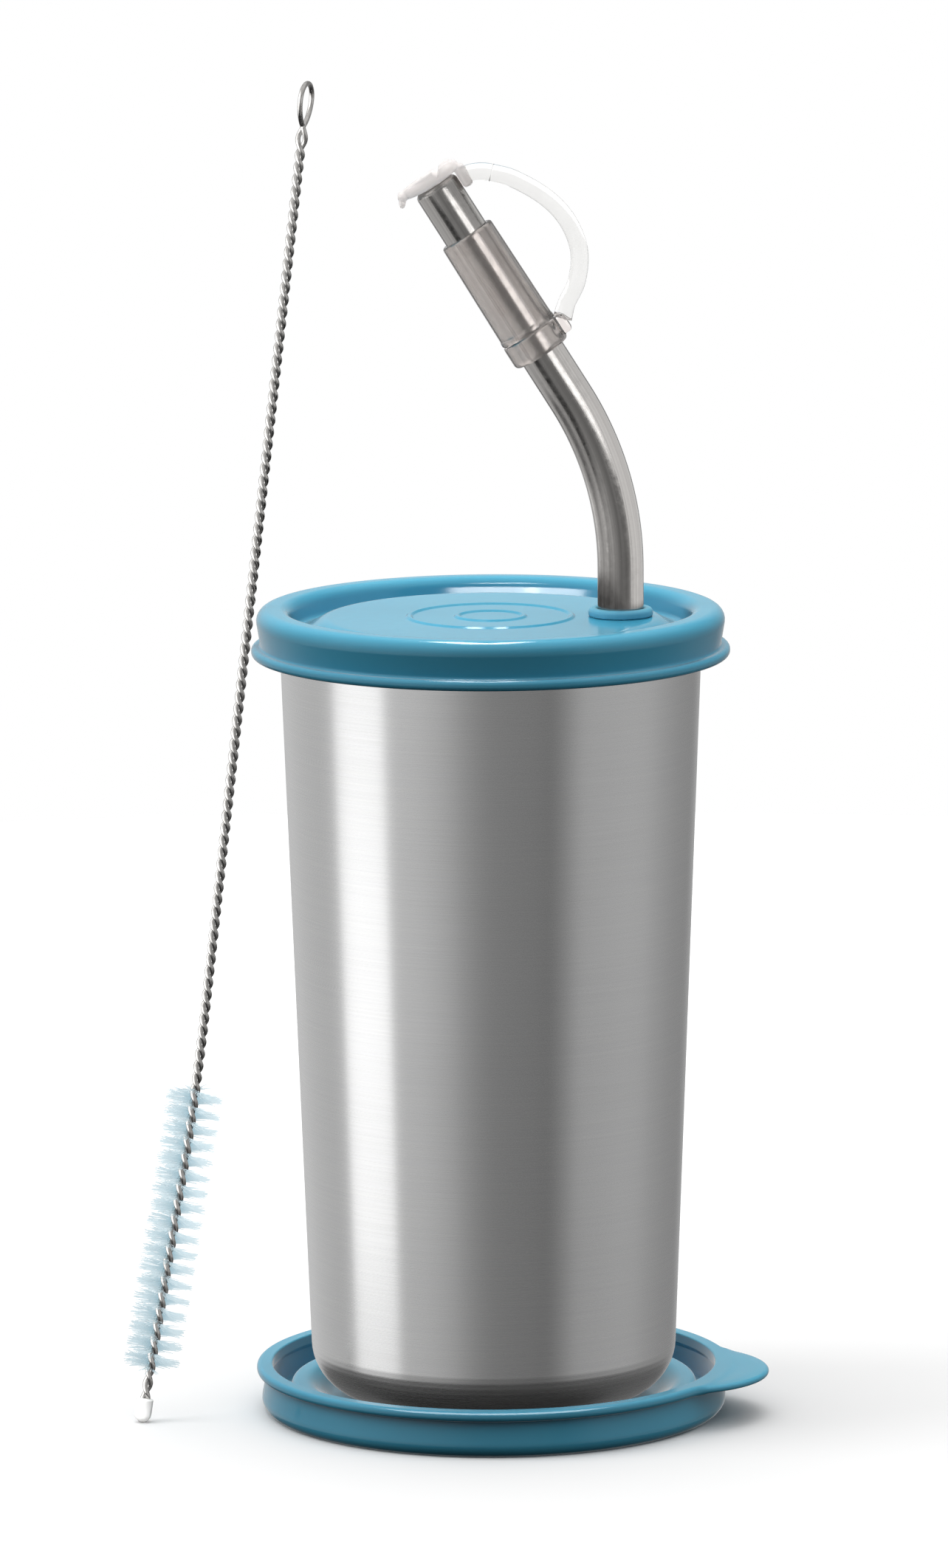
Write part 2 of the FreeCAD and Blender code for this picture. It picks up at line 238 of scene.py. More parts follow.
def turned_mesh(outline, segments, closed=True, place=polar):
    """Vertices and faces of an outline of (radius, height) points turned about an axis.

    place(radius, height, angle) gives each vertex.
    """
    vertices = []
    faces = []
    rings = []
    for radius, height in outline:
        if abs(radius) < TINY:
            rings.append([len(vertices)])
            vertices.append(place(0.0, height, 0.0))
            continue
        rings.append(list(range(len(vertices), len(vertices) + segments)))
        vertices += [place(radius, height, TURN * step / segments) for step in range(segments)]
    pairs = list(zip(rings, rings[1:]))
    if closed:
        pairs.append((rings[-1], rings[0]))
    for one, two in pairs:
        for step in range(segments):
            following = (step + 1) % segments
            if len(one) == 1:
                faces.append((one[0], two[step], two[following]))
            elif len(two) == 1:
                faces.append((one[step], two[0], one[following]))
            else:
                faces.append((one[step], two[step], two[following], one[following]))
    return vertices, faces


def tube_mesh(path, radius, sides, normal):
    """Vertices and faces of a round, capped tube along a path.

    The radius is one number or one a point, and the normal starts the sides off.
    """
    radii = radius if isinstance(radius, list) else [radius] * len(path)
    vertices = []
    last = len(path) - 1
    for index, point in enumerate(path):
        tangent = (path[min(index + 1, last)] - path[max(index - 1, 0)]).normalized()
        normal = (normal - tangent * normal.dot(tangent)).normalized()
        binormal = tangent.cross(normal)
        for side in range(sides):
            angle = TURN * side / sides
            offset = normal * cos(angle) + binormal * sin(angle)
            vertices.append(point + offset * radii[index])
    faces = []
    for index in range(last):
        for side in range(sides):
            following = (side + 1) % sides
            low = index * sides
            high = low + sides
            faces.append((low + side, low + following, high + following, high + side))
    faces.append(tuple(reversed(range(sides))))
    faces.append(tuple(range(last * sides, last * sides + sides)))
    return vertices, faces


def mesh_from(name, vertices, faces, scale=MM):
    """A mesh with its normals facing out and smooth shading, scaled from millimetres."""
    mesh = bpy.data.meshes.new(name)
    mesh.from_pydata([tuple(vertex * scale) for vertex in vertices], [], faces)
    shape = bmesh.new()
    shape.from_mesh(mesh)
    bmesh.ops.recalc_face_normals(shape, faces=shape.faces)
    shape.to_mesh(mesh)
    shape.free()
    mesh.shade_smooth()
    return mesh


def add_object(name, data):
    made = bpy.data.objects.new(name, data)
    bpy.context.scene.collection.objects.link(made)
    return made


def add_piece(name, shape, material, slot, body, *nodes):
    """A visible piece that rides on a body and stands for CAD nodes.

    Its shape is a mesh, or vertices and faces in millimetres.
    """
    mesh = mesh_from(name, *shape) if isinstance(shape, tuple) else shape
    piece = add_object(name, mesh)
    mesh.materials.clear()
    mesh.materials.append(material)
    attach(piece, body)
    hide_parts(*nodes)
    return piece


def evaluated(made):
    """The object's mesh with its modifiers applied, and the object itself removed."""
    graph = bpy.context.evaluated_depsgraph_get()
    mesh = bpy.data.meshes.new_from_object(made.evaluated_get(graph))
    bpy.data.objects.remove(made)
    return mesh


def cut_away(made, name, shape, scale, parts_overlap=False):
    """The object's mesh with a closed shape taken away, and the object itself removed."""
    cutter = add_object(name, mesh_from(name, *shape, scale=scale))
    modifier = made.modifiers.new("cut", "BOOLEAN")
    modifier.operation = "DIFFERENCE"
    modifier.solver = "EXACT"
    modifier.use_self = parts_overlap
    modifier.object = cutter
    mesh = evaluated(made)
    bpy.data.objects.remove(cutter)
    return mesh


def joined(parts):
    """Vertices and faces of several closed shapes as one list."""
    vertices = []
    faces = []
    for part_vertices, part_faces in parts:
        first = len(vertices)
        vertices += part_vertices
        faces += [tuple(first + index for index in face) for face in part_faces]
    return vertices, faces


def moulded(name, parts, voxel, smoothing, cut=None):
    """One skin round several overlapping shapes, with softened edges, in metres.

    The voxel size is in millimetres, and the cut is a shape taken away first.
    """
    made = add_object(name, mesh_from(name, *joined(parts), scale=1))
    if cut:
        made = add_object(name, cut_away(made, f"{name}_cut", cut, 1, parts_overlap=True))
    remesh = made.modifiers.new("skin", "REMESH")
    remesh.mode = "VOXEL"
    remesh.voxel_size = voxel
    relax = made.modifiers.new("relax", "SMOOTH")
    relax.factor = 0.5
    relax.iterations = smoothing
    mesh = evaluated(made)
    mesh.transform(Matrix.Scale(MM, 4))
    mesh.shade_smooth()
    return mesh


# ---- material nodes

def new_material(name):
    material = bpy.data.materials.new(name)
    material.use_nodes = True
    return material, material.node_tree, material.node_tree.nodes["Principled BSDF"]


def feed(socket, value):
    """Links an output to an input socket, or sets that input to a plain value."""
    if isinstance(value, bpy.types.NodeSocket):
        socket.id_data.links.new(value, socket)
    else:
        socket.default_value = value


def feed_all(node, **inputs):
    """Feeds a node's inputs by name; an underscore stands for a space."""
    for name, value in inputs.items():
        feed(node.inputs[name.replace("_", " ")], value)


def add_node(tree, kind, settings=None, **inputs):
    made = tree.nodes.new(f"ShaderNode{kind}")
    for name, value in (settings or {}).items():
        setattr(made, name, value)
    feed_all(made, **inputs)
    return made


def noise(tree, frequency, detail=3.0, roughness=0.5, vector=None):
    """Noise with a frequency for each axis or one for all, in the object's metres or a given vector."""
    scale = frequency if isinstance(frequency, tuple) else (frequency,) * 3
    if vector is None:
        vector = add_node(tree, "TexCoord").outputs["Object"]
    placed = add_node(tree, "Mapping", Vector=vector, Scale=scale).outputs["Vector"]
    return add_node(tree, "TexNoise", Vector=placed, Scale=1.0, Detail=detail,
                    Roughness=roughness).outputs["Fac"]


def ranged(tree, value, low, high, from_low=0.3, from_high=0.7):
    """Maps a noise value to a range."""
    return add_node(tree, "MapRange", {"clamp": True}, Value=value, From_Min=from_low,
                    From_Max=from_high, To_Min=low, To_Max=high).outputs["Result"]


def mixed_colour(tree, factor, dark, light, blend_type="MIX"):
    """Between two colours, each a socket or three numbers."""
    mix = add_node(tree, "Mix", {"data_type": "RGBA", "blend_type": blend_type})
    feed(mix.inputs[0], factor)
    for index, colour in ((6, dark), (7, light)):
        feed(mix.inputs[index], (*colour, 1) if isinstance(colour, tuple) else colour)
    return mix.outputs[2]


def tinted(tree, value, dark, light):
    return mixed_colour(tree, ranged(tree, value, 0, 1), dark, light)


def bump(tree, height, strength, distance, **under):
    """Relief from a height; the distance is in millimetres, and Normal may give relief under it."""
    return add_node(tree, "Bump", Height=height, Strength=strength, Distance=distance * MM,
                    **under).outputs["Normal"]


def calculate(tree, operation, *values):
    """Result of a math node whose inputs are sockets or numbers."""
    made = add_node(tree, "Math", {"operation": operation})
    for socket, value in zip(made.inputs, values):
        feed(socket, value)
    return made.outputs[0]


def linear(red, green, blue):
    """Linear colour of an 8-bit screen colour."""
    def channel(value):
        value /= 255
        return value / 12.92 if value <= 0.04045 else ((value + 0.055) / 1.055) ** 2.4
    return channel(red), channel(green), channel(blue)


# ---- materials

# How far light goes inside the blue plastics: a share for each colour, of this length.
WAXY_RADIUS = (0.3, 0.8, 1.0)
WAXY_SCALE = 0.8 * MM


def lid_plastic():
    """Waxy, half-gloss moulded polyethylene: slow colour variation, fine haze, grain and faint ripple."""
    material, tree, shader = new_material("lid_blue")
    cloudy = noise(tree, 28, detail=2)
    haze = noise(tree, 420, detail=4, roughness=0.6)
    grain = noise(tree, 5200, detail=2)
    ripple = noise(tree, 150, detail=1)
    feed_all(shader, IOR=1.5, Specular_IOR_Level=0.38, Subsurface_Weight=0.12,
             Subsurface_Radius=WAXY_RADIUS, Subsurface_Scale=WAXY_SCALE,
             Base_Color=tinted(tree, cloudy, linear(60, 142, 171), linear(68, 149, 177)),
             Roughness=ranged(tree, haze, 0.12, 0.17),
             Normal=bump(tree, grain, 0.03, 0.01, Normal=bump(tree, ripple, 0.03, 0.1)))
    return material


def brushed_steel():
    """Steel brushed round the cup: fine level streaks in colour, roughness and relief."""
    material, tree, shader = new_material("steel_brushed")
    fine = noise(tree, (55, 55, 8200), detail=3, roughness=0.65)
    coarse = noise(tree, (24, 24, 3200), detail=4, roughness=0.7)
    cloudy = noise(tree, (22, 22, 16), detail=2)
    streaks = calculate(tree, "ADD", fine, coarse)
    around = add_node(tree, "Tangent", {"direction_type": "RADIAL", "axis": "Z"})
    feed_all(shader, Metallic=1, Anisotropic=0.65, Anisotropic_Rotation=0.25,
             Tangent=around.outputs["Tangent"],
             Base_Color=mixed_colour(tree, ranged(tree, streaks, 0, 1, 0.75, 1.25), (0.585, 0.585, 0.59),
                                     (0.625, 0.625, 0.62)),
             Roughness=calculate(tree, "ADD", ranged(tree, fine, 0.0, 0.06),
                                 ranged(tree, cloudy, 0.22, 0.26)),
             Normal=bump(tree, streaks, 0.05, 0.01))
    return material


def straw_steel():
    """Drawn and polished tube: faint lines along it, light scuffs and small pits."""
    material, tree, shader = new_material("steel_straw")
    unbent = add_node(tree, "Attribute", {"attribute_name": "straight"}).outputs["Vector"]
    drawn = noise(tree, (3600, 3600, 22), detail=3, roughness=0.6, vector=unbent)
    scuffs = noise(tree, 900, detail=5, roughness=0.7)
    pits = ranged(tree, noise(tree, 2600, detail=1), 0, 1, 0.68, 0.75)
    feed_all(shader, Metallic=1,
             Base_Color=tinted(tree, drawn, (0.26, 0.251, 0.242), (0.35, 0.339, 0.328)),
             Roughness=ranged(tree, scuffs, 0.14, 0.28),
             Normal=bump(tree, pits, 0.3, 0.01, Normal=bump(tree, drawn, 0.1, 0.012)))
    return material


def grommet_silicone():
    """Blue silicone of the grommet: a little deeper and more matt than the lid."""
    material, tree, shader = new_material("grommet_blue")
    cloudy = noise(tree, 300, detail=2)
    feed_all(shader, Subsurface_Weight=0.2, Subsurface_Radius=WAXY_RADIUS,
             Subsurface_Scale=WAXY_SCALE,
             Base_Color=tinted(tree, cloudy, linear(74, 148, 176), linear(86, 158, 184)),
             Roughness=ranged(tree, cloudy, 0.30, 0.42),
             Normal=bump(tree, noise(tree, 4000, detail=2), 0.12, 0.02))
    return material


def silicone(name, dark, light, clearness, roughness, ior=1.41):
    """Translucent silicone between two tints, faintly cloudy and uneven."""
    material, tree, shader = new_material(name)
    cloudy = noise(tree, 260, detail=3)
    feed_all(shader, IOR=ior, Transmission_Weight=clearness,
             Base_Color=tinted(tree, cloudy, dark, light),
             Roughness=ranged(tree, cloudy, roughness, roughness + 0.1),
             Normal=bump(tree, noise(tree, 230, detail=1), 0.1, 0.1))
    return material


def wire_steel():
    """Drawn wire with a soft shine and darker rubbed patches."""
    material, tree, shader = new_material("steel_wire")
    patches = noise(tree, (1300, 1300, 700), detail=4, roughness=0.6)
    feed_all(shader, Metallic=1,
             Base_Color=tinted(tree, patches, (0.38, 0.37, 0.355), (0.52, 0.51, 0.495)),
             Roughness=ranged(tree, patches, 0.30, 0.20),
             Normal=bump(tree, noise(tree, 6000, detail=2), 0.2, 0.01))
    return material


def bristle_nylon():
    """Light blue translucent filaments, pale at their ends, with painted shade deepening them near the wire.
    """
    material, tree, shader = new_material("bristle_blue")
    reach = add_node(tree, "Attribute", {"attribute_name": "reach"}).outputs["Fac"]
    # Painted shade: the colour deepens from the pale ends towards the wire, standing in for the shade and
    # depth of the crowded, overlapping filaments there.
    crowded_shade_tint = mixed_colour(tree, ranged(tree, reach, 0, 1, 0.05, 0.95), linear(84, 130, 150),
                        linear(180, 206, 216))
    shade = tinted(tree, noise(tree, 1500, detail=1), (0.93, 0.97, 0.98), (1, 1, 1))
    feed_all(shader, IOR=1.12, Transmission_Weight=0.85, Roughness=0.2,
             Base_Color=mixed_colour(tree, 1, crowded_shade_tint, shade, "MULTIPLY"))
    return material


def white_plastic():
    """White bead on the brush's end, with faint wear."""
    material, tree, shader = new_material("plastic_white")
    cloudy = noise(tree, 900, detail=3)
    feed_all(shader, IOR=1.2, Transmission_Weight=0.35,
             Base_Color=tinted(tree, cloudy, (0.93, 0.93, 0.92), (0.96, 0.96, 0.955)),
             Roughness=ranged(tree, cloudy, 0.55, 0.65))
    return material


LID_BLUE = lid_plastic()
STEEL_BRUSHED = brushed_steel()
STEEL_STRAW = straw_steel()
GROMMET_BLUE = grommet_silicone()
CLEAR_SILICONE = silicone("silicone_clear", (0.93, 0.925, 0.91), (0.98, 0.975, 0.965), 0.96, 0.05)
TINTED_SILICONE = silicone("silicone_tinted", (0.87, 0.805, 0.78), (0.94, 0.895, 0.875), 0.97, 0.05)
CLOUDY_SILICONE = silicone("silicone_cloudy", (0.915, 0.875, 0.86), (0.955, 0.925, 0.91), 0.62, 0.4,
                           ior=1.22)
STEEL_WIRE = wire_steel()
BRISTLE = bristle_nylon()
WHITE = white_plastic()


# ---- lids

def lid_outline():
    """Half section of the lid from its panel's middle, over the crest and round to the back."""
    back = LID_CENTRE_TOP - LID_PANEL
    recess_back = LID_RECESS_FLOOR - LID_PANEL
    span = EDGE_ROUNDING_START - FLANGE_ROOT_RADIUS
    flange = [FLANGE_ROOT_RADIUS + span * step / FLANGE_STEPS for step in range(FLANGE_STEPS + 1)]
    corners = [(0, LID_CENTRE_TOP, 0)]
    for ridge in RIDGE_RADII:
        for offset, rise in ((-RIDGE_FOOT, 0), (-RIDGE_CREST, RIDGE_HEIGHT), (RIDGE_CREST, RIDGE_HEIGHT),
                             (RIDGE_FOOT, 0)):
            corners.append((ridge + offset, LID_CENTRE_TOP + rise, 0.25))
    corners += [
        (LID_STEP_INNER, LID_CENTRE_TOP, 4.0),
        (LID_STEP_OUTER, LID_RECESS_FLOOR, 3.5),
        (LID_CREST_FOOT, LID_RECESS_FLOOR, 0.7),
        (LID_CREST_FOOT + 0.7, LID_HEIGHT, 2.0),
        (41.1, LID_HEIGHT, 2.2),
        (40.0, FLANGE_THICKNESS, 0.35),
    ]
    corners += [(radius, FLANGE_THICKNESS, 0) for radius in flange]
    corners += [(FLANGE_RADIUS, FLANGE_THICKNESS, 0.79), (FLANGE_RADIUS, 0, 0.79)]
    corners += [(radius, 0, 0) for radius in reversed(flange)]
    corners += [
        (MOUTH_RADIUS, 0, 0.3),
        (MOUTH_RADIUS, FLANGE_THICKNESS, 0),
        (MOUTH_RADIUS + 0.3, FLANGE_THICKNESS + 0.4, 0),
        (39.7, LID_CREST_ROOF, 0.8),
        (35.5, LID_CREST_ROOF, 1.0),
        (35.5, recess_back, 1.0),
        (LID_STEP_OUTER - 0.3, recess_back, 3.0),
        (LID_STEP_INNER - 0.3, back, 4.0),
        (0, back, 0),
    ]
    return rounded(corners, closed=False)


def flange_reach(angle):
    """How far the flange stands out at an angle from the tab's middle, with filleted tab roots."""
    across = TAB_CENTRE * sin(angle)
    tab = TAB_CENTRE * cos(angle) + sqrt(max(TAB_RADIUS ** 2 - across ** 2, 0))
    gap = tab - FLANGE_RADIUS
    if gap <= -TAB_ROOT_REACH:
        return FLANGE_RADIUS
    return FLANGE_RADIUS + 0.5 * (gap + sqrt(gap ** 2 + TAB_ROOT_SOFTNESS ** 2))


def limited(value):
    return min(max(value, 0), 1)


def lid_place(tab_angle, flipped, base_z):
    """Vertex places for a lid: the tab is part of the flange, thinner and slightly dished."""
    def place(radius, height, angle):
        if radius > FLANGE_ROOT_RADIUS - TINY and height < FLANGE_THICKNESS + TINY:
            reach = flange_reach(angle)
            share = min((radius - FLANGE_ROOT_RADIUS) / (EDGE_ROUNDING_START - FLANGE_ROOT_RADIUS), 1)
            radius = radius + (reach - FLANGE_RADIUS) * share
            thin = limited((radius - FLANGE_RADIUS) / TAB_THINNING)
            thin = thin * thin * (3 - 2 * thin)
            tab_height = TAB_UNDERSIDE + height / FLANGE_THICKNESS * TAB_THICKNESS
            dish = TAB_DISH * thin * limited((reach - radius) / TAB_DISH_EDGE)
            height = height + (tab_height - height) * thin - dish
        if flipped:
            height = LID_HEIGHT - height
        return polar(radius, base_z + height, angle + tab_angle)
    return place


def about_straw(radius, height, angle):
    """Place on a circle round the straw's upright part."""
    return polar(radius, height, angle) + X_AXIS * STRAW_X


def with_straw_hole(mesh):
    """The lid's mesh with a round hole for the grommet."""
    top = STRAW_LID_Z + LID_HOLE_CUT
    outline = [(0, STRAW_LID_Z), (LID_HOLE_RADIUS, STRAW_LID_Z), (LID_HOLE_RADIUS, top), (0, top)]
    hole = turned_mesh([Vector(point) for point in outline], 64, closed=False, place=about_straw)
    cut = cut_away(add_object("lid_blank", mesh), "hole_cutter", hole, MM)
    cut.shade_smooth()
    cut.set_sharp_from_angle(angle=LID_SHARP_ANGLE)
    return cut


def build_lids():
    """The same moulding twice: upside down as the coaster, and with a hole as the lid."""
    outline = lid_outline()
    spare = turned_mesh(outline, LID_SEGMENTS, closed=False, place=lid_place(SPARE_TAB_ANGLE, True, 0))
    top = turned_mesh(outline, LID_SEGMENTS, closed=False,
                      place=lid_place(STRAW_LID_TAB_ANGLE, False, STRAW_LID_Z))
    holed = with_straw_hole(mesh_from("lid_moulding", *top))
    coaster = add_piece("coaster_moulding", spare, LID_BLUE, "lid_blue", "coaster", "spare_lid")
    lid = add_piece("lid_moulding", holed, LID_BLUE, "lid_blue", "lid", "straw_lid")
    coaster.visible_glossy = False
    lid.visible_glossy = False


# ---- tumbler

def build_tumbler():
    """Spun steel tumbler: raised ring under the base, tapered wall and rolled rim."""
    bead_z = CUP_RIM_Z - CUP_BEAD_RADIUS
    bead_centre = CUP_TOP_RADIUS - CUP_WALL + CUP_BEAD_RADIUS
    floor = CUP_BASE_Z + CUP_WALL
    outside = rounded([
        (0, CUP_BASE_Z + BASE_RING_DEPTH, 0),
        (BASE_PANEL_RADIUS, CUP_BASE_Z + BASE_RING_DEPTH, BASE_ROUNDING),
        (BASE_RING_RADIUS, CUP_BASE_Z, BASE_ROUNDING),
        (CUP_BASE_RADIUS, CUP_BASE_Z, CUP_CORNER_RADIUS),
        (CUP_TOP_RADIUS, bead_z - 1.4, 0),
    ], closed=False, arc_steps=CUP_CORNER_STEPS)
    bead = arc((bead_centre, bead_z), (CUP_BEAD_RADIUS, CUP_BEAD_RADIUS), -60, 240, 16)
    lining = rounded([
        (CUP_TOP_RADIUS - CUP_WALL, bead_z - 0.3, 0),
        (CUP_BASE_RADIUS - CUP_WALL, floor, CUP_CORNER_RADIUS - CUP_WALL),
        (BASE_RING_RADIUS, floor, BASE_ROUNDING),
        (BASE_PANEL_RADIUS, floor + BASE_RING_DEPTH, BASE_ROUNDING),
        (0, floor + BASE_RING_DEPTH, 0),
    ], closed=False, arc_steps=CUP_CORNER_STEPS)
    body = turned_mesh(outside + bead + lining, 360, closed=False)
    add_piece("tumbler_body", body, STEEL_BRUSHED, "steel_brushed", "cup", "tumbler")


# ---- straw and its silicone parts

def straw_station(along):
    """Centre, sideways direction and forward direction at a distance up the straw."""
    turned = min(max((along - STRAW_UPRIGHT) / STRAW_BEND_RADIUS, 0), STRAW_BEND_ANGLE)
    forward = Vector((-sin(turned), 0, cos(turned)))
    sideways = Vector((cos(turned), 0, sin(turned)))
    centre = Vector((STRAW_X - STRAW_BEND_RADIUS * (1 - cos(turned)), 0,
                     STRAW_BEND_Z + STRAW_BEND_RADIUS * sin(turned)))
    if along < STRAW_UPRIGHT:
        centre.z = STRAW_BOTTOM_Z + along
    if along > MOUTH_START:
        centre += forward * (along - MOUTH_START)
    return centre, sideways, forward


def on_straw(radius, along, angle):
    centre, sideways, _ = straw_station(along)
    return centre + sideways * (radius * cos(angle)) + Vector((0, radius * sin(angle), 0))


def on_mouth(across, depth, along):
    """Point beside the mouth end: across it in the plane of the bend, deep along Y, and along it."""
    centre, sideways, _ = straw_station(MOUTH_START + along)
    return centre + sideways * across + Vector((0, depth, 0))


def round_mouth(radius, along, angle):
    return on_mouth(radius * cos(angle), radius * sin(angle), along)


def on_mouth_end(vertices):
    """Vertices modelled with the mouth end as their Z axis, put in place."""
    return [on_mouth(vertex.x, vertex.y, vertex.z) for vertex in vertices]


def placed_mesh(mesh):
    """Moves a mesh modelled about the mouth end (in metres) to its place."""
    centre, sideways, forward = straw_station(MOUTH_START)
    turn = Matrix((sideways, Y_AXIS, forward)).transposed().to_4x4()
    mesh.transform(Matrix.Translation(centre * MM) @ turn)
    return mesh


def build_straw():
    """Tube with a rounded lower lip, and a rounded nose at the mouth end."""
    length = MOUTH_START + STRAW_MOUTH_LENGTH
    middle = (STRAW_RADIUS + STRAW_BORE_RADIUS) / 2
    half_wall = (STRAW_RADIUS - STRAW_BORE_RADIUS) / 2
    stations = [STRAW_UPRIGHT * step / UPRIGHT_STEPS for step in range(1, UPRIGHT_STEPS)]
    stations += [STRAW_UPRIGHT + STRAW_BEND_LENGTH * step / BEND_STEPS for step in range(BEND_STEPS + 1)]
    stations += [MOUTH_START + STRAW_MOUTH_LENGTH * step / MOUTH_STEPS for step in range(1, MOUTH_STEPS)]
    outline = arc((middle, STRAW_LIP), (-half_wall, -STRAW_LIP), 0, 180, 6)
    outline += [Vector((STRAW_RADIUS, along)) for along in stations]
    outline += arc((STRAW_RADIUS - STRAW_NOSE, length - STRAW_NOSE), (STRAW_NOSE, STRAW_NOSE), 0, 90, 8)
    inner = STRAW_RADIUS - STRAW_NOSE - STRAW_LIP
    outline += [Vector((inner + 0.06, length - 0.06)), Vector((inner, length - STRAW_LIP)),
                Vector((inner, length - 0.9)), Vector((STRAW_BORE_RADIUS, length - 2.0))]
    outline += [Vector((STRAW_BORE_RADIUS, along)) for along in reversed(stations)]
    mesh = mesh_from("straw_tube", *turned_mesh(outline, 72, place=on_straw))
    # Where each vertex would be on an unbent straw, for lines that follow the tube.
    straight = mesh.attributes.new("straight", "FLOAT_VECTOR", "POINT")
    for item, point in zip(straight.data, turned_mesh(outline, 72)[0]):
        item.vector = point * MM
    add_piece("straw_tube", mesh, STEEL_STRAW, "steel_straw", "straw", "straw")


def build_grommet():
    """Collar on the lid, neck through it and flange below it, as one ring."""
    foot = node_box("straw_grommet")[0].z
    panel_top = STRAW_LID_Z + LID_CENTRE_TOP
    bore = 4.05
    neck = 4.95
    flange = 5.5
    collar = 5.6
    ring = turned_mesh(rounded([
        (bore, foot, 0.3),
        (flange, foot, 0.3),
        (flange, foot + 1.0, 0.3),
        (neck, foot + 1.0, 0.1),
        (neck, panel_top + 0.05, 0.1),
        (collar, panel_top + 0.05, 0.3),
        (collar, panel_top + 1.55, 0.75),
        (bore, panel_top + 1.55, 0.55),
    ]), 96, place=about_straw)
    add_piece("grommet_ring", ring, GROMMET_BLUE, "grommet_blue", "grommet", "straw_grommet")


def build_sleeve():
    """Sleeve that grips the mouth end, with a small bead round its lower edge."""
    sleeve = turned_mesh(rounded([
        (SNUG_RADIUS, 13.4, 0.05),
        (5.25, 13.4, 0.3),
        (5.25, 14.1, 0.3),
        (5.12, 14.5, 0.3),
        (4.9, 33.6, 0.55),
        (SNUG_RADIUS, 33.6, 0.05),
    ]), 96, place=round_mouth)
    add_piece("sleeve_silicone", sleeve, TINTED_SILICONE, "silicone_clear", "straw", "straw_sleeve")


def rounded_bar(low, high, rounding):
    """Box between two corners with rounded edges, as vertices and faces."""
    low = Vector(low)
    high = Vector(high)
    shape = bmesh.new()
    bmesh.ops.create_cube(shape, size=1)
    bmesh.ops.scale(shape, vec=high - low, verts=shape.verts)
    bmesh.ops.translate(shape, vec=(low + high) / 2, verts=shape.verts)
    bmesh.ops.bevel(shape, geom=shape.edges, offset=rounding, segments=5, affect="EDGES", profile=0.5)
    shape.verts.index_update()
    vertices = [vertex.co.copy() for vertex in shape.verts]
    faces = [tuple(vertex.index for vertex in face.verts) for face in shape.faces]
    shape.free()
    return vertices, faces


def rod_along_y(across, along, radius, half_width):
    """Round bar across the mouth end with domed ends."""
    path = []
    radii = []
    steps = 6
    quarter = [pi / 2 * step / steps for step in range(steps + 1)]
    for side, angles in ((-1, quarter), (1, quarter[::-1])):
        for angle in angles:
            path.append(Vector((across, side * (half_width + radius * cos(angle)), along)))
            radii.append(max(radius * sin(angle), BLUNT_END))
    return tube_mesh(path, radii, 24, X_AXIS)


def build_ring():
    """Ring of the strap, with the ear that the strap grows from."""
    ring = turned_mesh(rounded([
        (SNUG_RADIUS, 9.0, 0.1),
        (5.3, 9.0, 0.8),
        (5.3, 13.3, 0.25),
        (SNUG_RADIUS, 13.3, 0.1),
    ]), 96)
    ear = rounded_bar((4.6, -1.7, 9.9), (6.8, 1.7, 13.2), 0.6)
    mesh = placed_mesh(moulded("ring_silicone", [ring, ear], 0.12, 14))
    add_piece("ring_silicone", mesh, TINTED_SILICONE, "silicone_clear", "strap", "cap_ring")


def route_points(route, samples):
    """Points along a Catmull-Rom curve through a route's (along, across) points."""
    points = [Vector((across, 0, along)) for along, across in route]
    padded = [2 * points[0] - points[1]] + points + [2 * points[-1] - points[-2]]
    path = []
    for index in range(1, len(padded) - 2):
        a, b, c, d = padded[index - 1:index + 3]
        for step in range(samples):
            t = step / samples
            path.append(0.5 * (2 * b + (c - a) * t + (2 * a - 5 * b + 4 * c - d) * t ** 2
                               + (3 * b - a - 3 * c + d) * t ** 3))
    path.append(points[-1])
    return path


def build_strap():
    """Round strap in one loop beside the straw, swelling a little where it meets the ring."""
    path = route_points(STRAP_ROUTE, 16)
    nearness = [max(0.0, 1 - ahead / STRAP_SWELLING_POINTS) for ahead in reversed(range(len(path)))]
    radii = [STRAP_RADIUS + STRAP_SWELLING * near for near in nearness]
    vertices, faces = tube_mesh(path, radii, 32, Y_AXIS)
    strap = (on_mouth_end(vertices), faces)
    add_piece("strap_silicone", strap, CLEAR_SILICONE, "silicone_clear", "strap", "cap_strap")


def build_neck():
    """Flexible end of the strap, between the strap and the cap."""
    vertices, faces = tube_mesh(route_points(NECK_ROUTE, 12), NECK_RADIUS, 32, Y_AXIS)
    neck = add_object("strap_neck", mesh_from("strap_neck", on_mouth_end(vertices), faces))
    neck.data.materials.append(CLEAR_SILICONE)
    start = on_mouth(9.0, 0, 40.7) * MM
    end = on_mouth(6.0, 0, 42.2) * MM
    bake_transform(neck)


